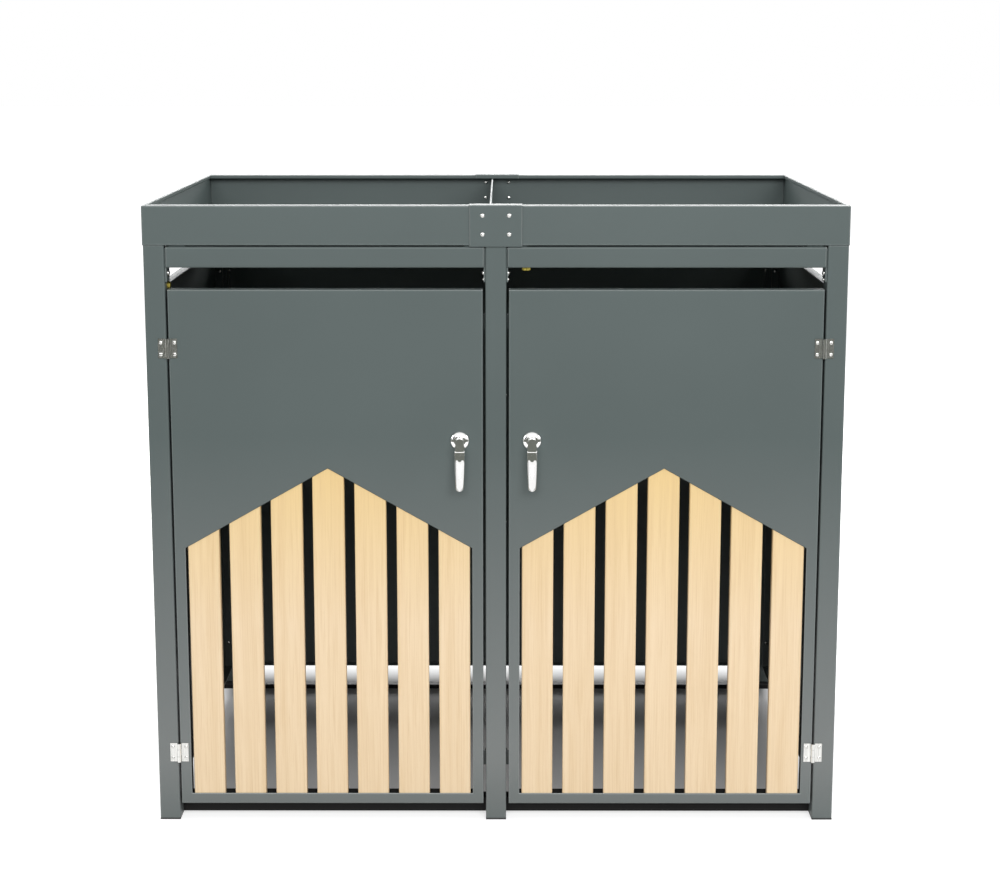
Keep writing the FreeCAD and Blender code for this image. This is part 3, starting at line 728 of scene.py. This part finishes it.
class STORE_OT_shape_levers(bpy.types.Operator):
    """Shape the chromed levers with their boss, swept blade and spindle"""

    bl_idname = "store.shape_levers"
    bl_label = "Shape the levers"

    def execute(self, context):
        latches = context.scene.store_latches
        rose_gap = 0.3 * MM
        back_bevel = 0.5 * MM
        spindle_radius = 4.0 * MM
        half_square = 2.75 * MM
        square_length = 3.2 * MM
        overlap = 0.8 * MM
        face_inset = 0.3 * MM
        bevel, front = latches.boss_bevel, latches.boss_front
        for side in SIDES:
            spindle, low, high = latch_places(side)
            here = Matrix.Translation(spindle)
            back = spindle.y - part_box(side + "_latch_rose")[0].y + rose_gap
            bm = bmesh.new()
            arches = [boss_outline(latches, (high.x - low.x) / 2, inset, depth)
                      for inset, depth in (
                          (back_bevel, back), (0.0, back + back_bevel), (0.0, front - bevel),
                          (bevel * 0.3, front - bevel * 0.3), (bevel, front),
                          (bevel + face_inset, front))]
            rings(bm, arches, here)
            self.add_blade(bm, here, latches, spindle.z - low.z, spindle.y - low.y)
            tail = spindle.y - high.y
            rod = [circle(spindle_radius, height) for height in (tail + square_length, back + MM)]
            square = [[(x * half_square, y * half_square, height)
                       for x, y in ((-1, -1), (1, -1), (1, 1), (-1, 1))]
                      for height in (tail, tail + square_length + overlap)]
            for sections in (rod, square):
                rings(bm, sections, axis_matrix(spindle, FRONT))
            piece = finished(bm, side + "_lever_polished", side + "_handle", "chrome",
                             sharp_angle=38)
            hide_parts(side + "_lever")
        return {"FINISHED"}

    def add_blade(self, bm, here, latches, length, reach):
        """The blade leaves the boss upright, bends outwards and runs straight to a round end."""
        segments = 48
        start = 8.0 * MM
        root_depth = 2.2 * MM
        bend_start = latches.boss_drop + latches.neck_length
        bend_length = 14.0 * MM
        ridge = 9.0 * MM
        bend_end = bend_start + bend_length + ridge
        ridge_slope = 2.2
        squareness = 0.75
        least_thickness = 0.35
        tip = latches.tip_width / 2
        straight_end = length - tip
        root = latches.boss_front - root_depth
        slope = (reach - root) / (length - bend_start - bend_length / 2)
        stations = []
        for first, last, steps in ((start, bend_start, 3), (bend_start, bend_end, 12),
                                   (bend_end, straight_end, 6)):
            stations += [first + (last - first) * k / steps for k in range(steps)]
        stations += [straight_end + tip * math.sin(math.radians(angle)) for angle in
                     (0, 15, 30, 44, 57, 68, 77, 84, 88.5)]
        sections = []
        for drop in stations:
            past = max(drop - straight_end, 0.0) / tip
            rounding = math.sqrt(max(1 - past * past, 0.0))
            along = min(max((drop - bend_start) / (straight_end - bend_start), 0.0), 1.0)
            width = latches.neck_width + (latches.tip_width - latches.neck_width) * along
            bulge = latches.blade_width - (latches.neck_width + latches.tip_width) / 2
            width = (width + bulge * 4 * along * (1 - along)) * rounding
            thickness = latches.neck_thickness
            thickness += (latches.tip_thickness - latches.neck_thickness) * along
            thickness *= least_thickness + (1 - least_thickness) * rounding
            fading = min(max(1 - (drop - bend_start) / (5 * ridge), 0.0), 1.0)
            section = []
            for k in range(segments):
                c = math.cos(2 * math.pi * k / segments)
                s = math.sin(2 * math.pi * k / segments)
                across = math.copysign(abs(c) ** squareness, c)
                out = math.copysign(abs(s) ** squareness, s)
                held = ridge * fading * max(1 - ridge_slope * abs(across), 0.0)
                bend = max(drop - bend_start - held, 0.0)
                depth = root + slope * (bend * bend / (2 * bend_length) if bend < bend_length
                                        else bend - bend_length / 2)
                section.append((across * width / 2, -depth + (1 + out) * thickness / 2, -drop))
            sections.append(section)
        rings(bm, sections, here)


class STORE_OT_rivet_plates(bpy.types.Operator):
    """Rivet the trays' joint plates, with heads outside at the front and inside at the rear"""

    bl_idname = "store.rivet_plates"
    bl_label = "Rivet the joint plates"

    def execute(self, context):
        fixings = context.scene.store_fixings
        plate_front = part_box("tray_joint_plates")[0].y
        tray_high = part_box("planter_tray_left")[1]
        rear_inside = tray_high.y - SHEET
        bm = bmesh.new()
        for across in (-0.5, 0.5):
            for row in (0, 1):
                z = tray_high.z - fixings.rivet_drop - row * fixings.rivet_spacing_upright
                for spacing, y in ((fixings.rivet_spacing_across, plate_front),
                                   (fixings.rear_rivet_spacing, rear_inside)):
                    domed_rivet(bm, Vector((across * spacing, y, z)), FRONT,
                                fixings.rivet_diameter, RIVET_HEIGHT)
        finished(bm, "tray_rivets", "frame", "stainless")
        return {"FINISHED"}


class STORE_OT_fix_rails(bpy.types.Operator):
    """Fix each rail's end plates to the posts with two domed screws"""

    bl_idname = "store.fix_rails"
    bl_label = "Fix the rails"

    def execute(self, context):
        fixings = context.scene.store_fixings
        screws = ((16.0 * MM, fixings.rail_screw_diameter),
                  (3.5 * MM, fixings.rail_lower_screw_diameter))
        bm = bmesh.new()
        for row, along in (("front", RIGHT), ("rear", RIGHT), ("side", BACK)):
            for side in SIDES:
                name = row + "_rail_" + side
                low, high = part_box(name)
                for place, inward in inner_faces(low, high, along, END_PLATE):
                    # The yellow bolt takes the lower screw's place in the outer left post
                    bolted = name == "front_rail_left" and inward == along
                    for height, diameter in screws[:1] if bolted else screws:
                        place.z = low.z + height
                        domed_screw(bm, place, inward, diameter, diameter * 0.42)
        finished(bm, "rail_screws", "frame", "stainless")
        return {"FINISHED"}


class STORE_OT_fit_yellow_bolts(bpy.types.Operator):
    """Fit the yellow hexagon bolt and nut at the front rails"""

    bl_idname = "store.fit_yellow_bolts"
    bl_label = "Fit the yellow bolt and nut"

    def execute(self, context):
        fixings = context.scene.store_fixings
        bolt_inset = 8.6 * MM
        bolt_height = 5.5 * MM
        nut_inset = 38.0 * MM
        nut_height = 7.0 * MM
        rail_height = 40.0 * MM
        left_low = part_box("front_rail_left")[0]
        right_low, right_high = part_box("front_rail_right")
        post_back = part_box("post_front_left")[1].y
        bm = bmesh.new()
        hexagon_head(bm, Vector((left_low.x, post_back - bolt_inset, left_low.z - bolt_inset)),
                     RIGHT, fixings.bolt_across_flats, bolt_height)
        hexagon_head(bm, Vector((right_low.x + nut_inset, (right_low.y + right_high.y) / 2,
                                 right_high.z - rail_height)),
                     DOWN, fixings.nut_across_flats, nut_height)
        finished(bm, "yellow_bolts", "frame", "zinc", "yellow_zinc")
        return {"FINISHED"}


class STORE_OT_screw_hinges(bpy.types.Operator):
    """Screw the hinge leaves to the posts and doors"""

    bl_idname = "store.screw_hinges"
    bl_label = "Screw the hinges"

    def execute(self, context):
        fixings = context.scene.store_fixings
        leaf_height = 38.0 * MM
        leaf_thickness = 1.5 * MM
        knuckle_radius = 4.0 * MM
        head_height = 1.5 * MM
        for side, outward in zip(SIDES, (-1, 1)):
            low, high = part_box(side + "_hinge_leaves")
            axis_x = (low.x if side == "left" else high.x) - outward * knuckle_radius
            for body, direction, name in (
                    ("frame", outward, side + "_post_hinge_screws"),
                    (side + "_door", -outward, side + "_door_hinge_screws")):
                bm = bmesh.new()
                x = axis_x + direction * fixings.hinge_screw_spread
                for middle_z in (low.z + leaf_height / 2, high.z - leaf_height / 2):
                    for rise in (-fixings.hinge_screw_rise, fixings.hinge_screw_rise):
                        place = Vector((x, high.y - leaf_thickness, middle_z + rise))
                        domed_screw(bm, place, FRONT, fixings.hinge_screw_diameter,
                                    head_height, "cross")
                finished(bm, name, body, "stainless")
        return {"FINISHED"}


class STORE_OT_screw_panels(bpy.types.Operator):
    """Screw the folds of the side and rear panels to the posts, from inside"""

    bl_idname = "store.screw_panels"
    bl_label = "Screw the panels"

    def execute(self, context):
        diameter = context.scene.store_fixings.panel_screw_diameter
        inset = 2.0 * MM
        bm = bmesh.new()
        for side, inner in zip(SIDES, (RIGHT, LEFT)):
            for name, along, inwards in (("side_panel_", BACK, inner),
                                         ("rear_panel_", RIGHT, FRONT)):
                low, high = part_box(name + side)
                for share in (0.06, 0.35, 0.65, 0.94):
                    for place, direction in inner_faces(low, high, along, SHEET):
                        place += inwards * inset
                        place.z = low.z + (high.z - low.z) * share
                        domed_screw(bm, place, direction, diameter, diameter * 0.35, "cross")
        finished(bm, "panel_screws", "frame", "stainless")
        return {"FINISHED"}


class STORE_OT_screw_slats(bpy.types.Operator):
    """Screw each slat to the frame inside the door, at its foot and under the gable"""

    bl_idname = "store.screw_slats"
    bl_label = "Screw the slats"

    def execute(self, context):
        diameter = context.scene.store_fixings.slat_screw_diameter
        above_foot = 7.5 * MM
        below_gable = 6.0 * MM
        for side in SIDES:
            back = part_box(side + "_slat_frame")[1].y
            slats = [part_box(side + "_slat_" + str(number)) for number in range(1, 8)]
            middles = [(low.x + high.x) / 2 for low, high in slats]
            ridge_x, ridge_z = middles[3], slats[3][1].z
            slope = (ridge_z - slats[0][1].z) / abs(ridge_x - middles[0])
            bm = bmesh.new()
            for (low, high), x in zip(slats, middles):
                for z in (low.z + above_foot, ridge_z - slope * abs(x - ridge_x) - below_gable):
                    domed_screw(bm, Vector((x, back, z)), BACK, diameter, diameter * 0.3, "cross")
            finished(bm, side + "_slat_screws", side + "_door", "stainless")
        return {"FINISHED"}


class STORE_OT_make_stage(bpy.types.Operator):
    """Set the pale floor, the soft lamps and the camera"""

    bl_idname = "store.make_stage"
    bl_label = "Make the stage"

    def execute(self, context):
        stage = context.scene.store_stage
        self.lay_floor(stage)
        self.light_sky(context.scene, stage)
        middle = (0, 0, 0.6)
        for name, place, target, size, power in (
                ("low_back_lamp", (0, 3.0, 0.6), (0, 0.3, 0.05), (4.0, 0.4), stage.low_back_light),
                ("front_lamp", (0.5, -4.6, 3.0), middle, (5.0, 2.0), stage.front_light),
                ("back_lamp", (0, 4.6, 2.6), middle, (7.0, 1.7), stage.back_light),
                ("left_lamp", (-4.2, 0, 2.4), middle, (3.0, 1.6), stage.side_light),
                ("right_lamp", (4.2, 0, 2.4), middle, (3.0, 1.6), stage.side_light)):
            lamp = bpy.data.lights.new(name, "AREA")
            lamp.shape = "RECTANGLE"
            lamp.size, lamp.size_y = size
            lamp.energy = power
            self.aim(name, lamp, place, target)
        self.stand_cards(stage)
        self.set_camera(context.scene, stage)
        context.scene.view_settings.view_transform = "Standard"
        return {"FINISHED"}

    def aim(self, name, data, place, target):
        """Puts a lamp or camera at a place, facing a point."""
        item = linked(name, data)
        item.location = place
        direction = Vector(target) - Vector(place)
        item.rotation_euler = direction.to_track_quat("-Z", "Y").to_euler()
        return item

    def lay_floor(self, stage):
        """A wide pale floor, lightened where the camera or metal sees it far from the store."""
        bm = bmesh.new()
        bmesh.ops.create_grid(bm, x_segments=8, y_segments=8, size=40.0)
        meshed(bm, "floor", self.floor_material(stage))

    def floor_material(self, stage):
        """Matt and pale, with a glow that starts away from the store's foot."""
        material, nodes, shader = new_material("pale_floor", stage.floor_colour)
        nodes.put(shader, "Roughness", 0.9)
        axes = nodes.axes()
        sill_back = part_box("front_sill")[1].y
        post_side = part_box("post_front_right")[0].x
        rear_share = 0.3  # how fast the floor lightens behind the store
        rear = nodes.math("SUBTRACT", axes["Y"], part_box("rear_panel_left")[0].y)
        before = nodes.math("SUBTRACT", sill_back, axes["Y"])
        past_x = nodes.math("SUBTRACT", nodes.math("ABSOLUTE", axes["X"]), post_side)
        past_x = nodes.math("MAXIMUM", past_x, 0.0)
        past_y = nodes.math("MAXIMUM", before, nodes.product(rear, rear_share))
        past_y = nodes.math("MAXIMUM", past_y, 0.0)
        outside = nodes.distance(past_x, past_y)

        # Painted shadow under the rear panels, and painted light on the floor just behind the doors
        shade = nodes.span(nodes.distance(past_x, rear), 0.0, 0.12, 0.40, 1.0)
        nodes.put(shader, "Base Color", nodes.mix(shade, BLACK, stage.floor_colour))
        inside = nodes.product(
            nodes.span(axes["Y"], sill_back, 0.10, stage.inner_glow, stage.inner_glow * 0.25),
            nodes.span(axes["Y"], 0.08, 0.14, 1.0, 0.0),
            nodes.span(outside, 0.0, 0.01, 1.0, 0.0))
        near = nodes.span(outside, 0.0, stage.floor_fade, 0.0, stage.floor_glow)
        far = nodes.span(outside, 0.8, 3.0, 0.0, 1.0 - stage.floor_glow)
        glow = nodes.math("ADD", nodes.math("ADD", near, far), inside)
        nodes.put(shader, "Emission Strength", nodes.product(glow, nodes.seen()))
        nodes.put(shader, "Emission Color", (*WHITE, 1.0))
        return material

    def stand_cards(self, stage):
        """Curved cards round the store, seen only in gloss, that give the chrome its contrast."""
        steps = 24
        for name, first, last, low, high, colour in (
                ("low_card", -170, -10, 0.0, stage.card_height, stage.card_colour),
                ("dark_card", -142, -126, 0.95, 2.0, (0.02, 0.02, 0.03)),
                ("warm_card", -190, -171, 0.0, 0.5, (0.42, 0.22, 0.10))):
            bm = bmesh.new()
            columns = []
            for step in range(steps + 1):
                angle = math.radians(first + (last - first) * step / steps)
                x = stage.card_distance * math.cos(angle)
                y = stage.card_distance * math.sin(angle)
                columns.append([bm.verts.new((x, y, z)) for z in (low, high)])
            for here, after in zip(columns, columns[1:]):
                bm.faces.new((here[0], after[0], after[1], here[1]))
            material, nodes, shader = new_material(name, colour)
            for key, value in (("Base Color", (*BLACK, 1.0)), ("Specular IOR Level", 0.0),
                               ("Emission Color", (*colour, 1.0)), ("Emission Strength", 1.0)):
                nodes.put(shader, key, value)
            card = meshed(bm, name, material)
            for ray in ("camera", "diffuse", "transmission", "shadow"):
                setattr(card, "visible_" + ray, False)

    def light_sky(self, scene, stage):
        """Soft light from all round that looks white to the camera and in metal."""
        world = bpy.data.worlds.new("soft_sky")
        scene.world = world
        world.use_nodes = True
        world.node_tree.nodes.clear()
        nodes = Nodes(world.node_tree)
        strength = nodes.span(nodes.seen(), 0.0, 1.0, stage.sky_light, 1.0)
        sky = nodes.add("ShaderNodeBackground", {"Color": (*WHITE, 1.0), "Strength": strength})
        nodes.add("ShaderNodeOutputWorld", {"Surface": sky.outputs[0]})

    def set_camera(self, scene, stage):
        """The camera of the photograph's view."""
        lens = bpy.data.cameras.new("camera")
        lens.sensor_width = 36.0
        lens.lens = stage.lens
        lens.shift_y = stage.shift
        scene.camera = self.aim("camera", lens, stage.camera_place, stage.camera_target)


class STORE_PT_panel(bpy.types.Panel):
    """The store's settings and steps in the sidebar"""

    bl_label = "Bin Store"
    bl_idname = "STORE_PT_panel"
    bl_space_type = "VIEW_3D"
    bl_region_type = "UI"
    bl_category = "Bin Store"

    def draw(self, context):
        for step in STEPS:
            self.layout.operator(step.bl_idname)
        for group in (context.scene.store_finishes, context.scene.store_latches,
                      context.scene.store_fixings, context.scene.store_stage):
            box = self.layout.box()
            for name in group.__annotations__:
                box.prop(group, name)


STEPS = (STORE_OT_coat_steel, STORE_OT_grain_slats, STORE_OT_plate_fittings,
         STORE_OT_turn_roses, STORE_OT_shape_levers, STORE_OT_rivet_plates, STORE_OT_fix_rails,
         STORE_OT_fit_yellow_bolts, STORE_OT_screw_hinges, STORE_OT_screw_panels,
         STORE_OT_screw_slats, STORE_OT_make_stage)
GROUPS = (("store_finishes", StoreFinishes), ("store_latches", StoreLatches),
          ("store_fixings", StoreFixings), ("store_stage", StoreStage))


def register():
    """Registers the settings, the steps and the panel."""
    for name, group in GROUPS:
        bpy.utils.register_class(group)
        setattr(bpy.types.Scene, name, bpy.props.PointerProperty(type=group))
    for step in STEPS:
        bpy.utils.register_class(step)
    bpy.utils.register_class(STORE_PT_panel)


def unregister():
    """Takes the panel, the steps and the settings out again."""
    bpy.utils.unregister_class(STORE_PT_panel)
    for step in reversed(STEPS):
        bpy.utils.unregister_class(step)
    for name, group in reversed(GROUPS):
        delattr(bpy.types.Scene, name)
        bpy.utils.unregister_class(group)


def main():
    """Runs the steps in order."""
    register()
    for step in STEPS:
        category, action = step.bl_idname.split(".")
        getattr(getattr(bpy.ops, category), action)()


if __name__ == "__main__":
    main()
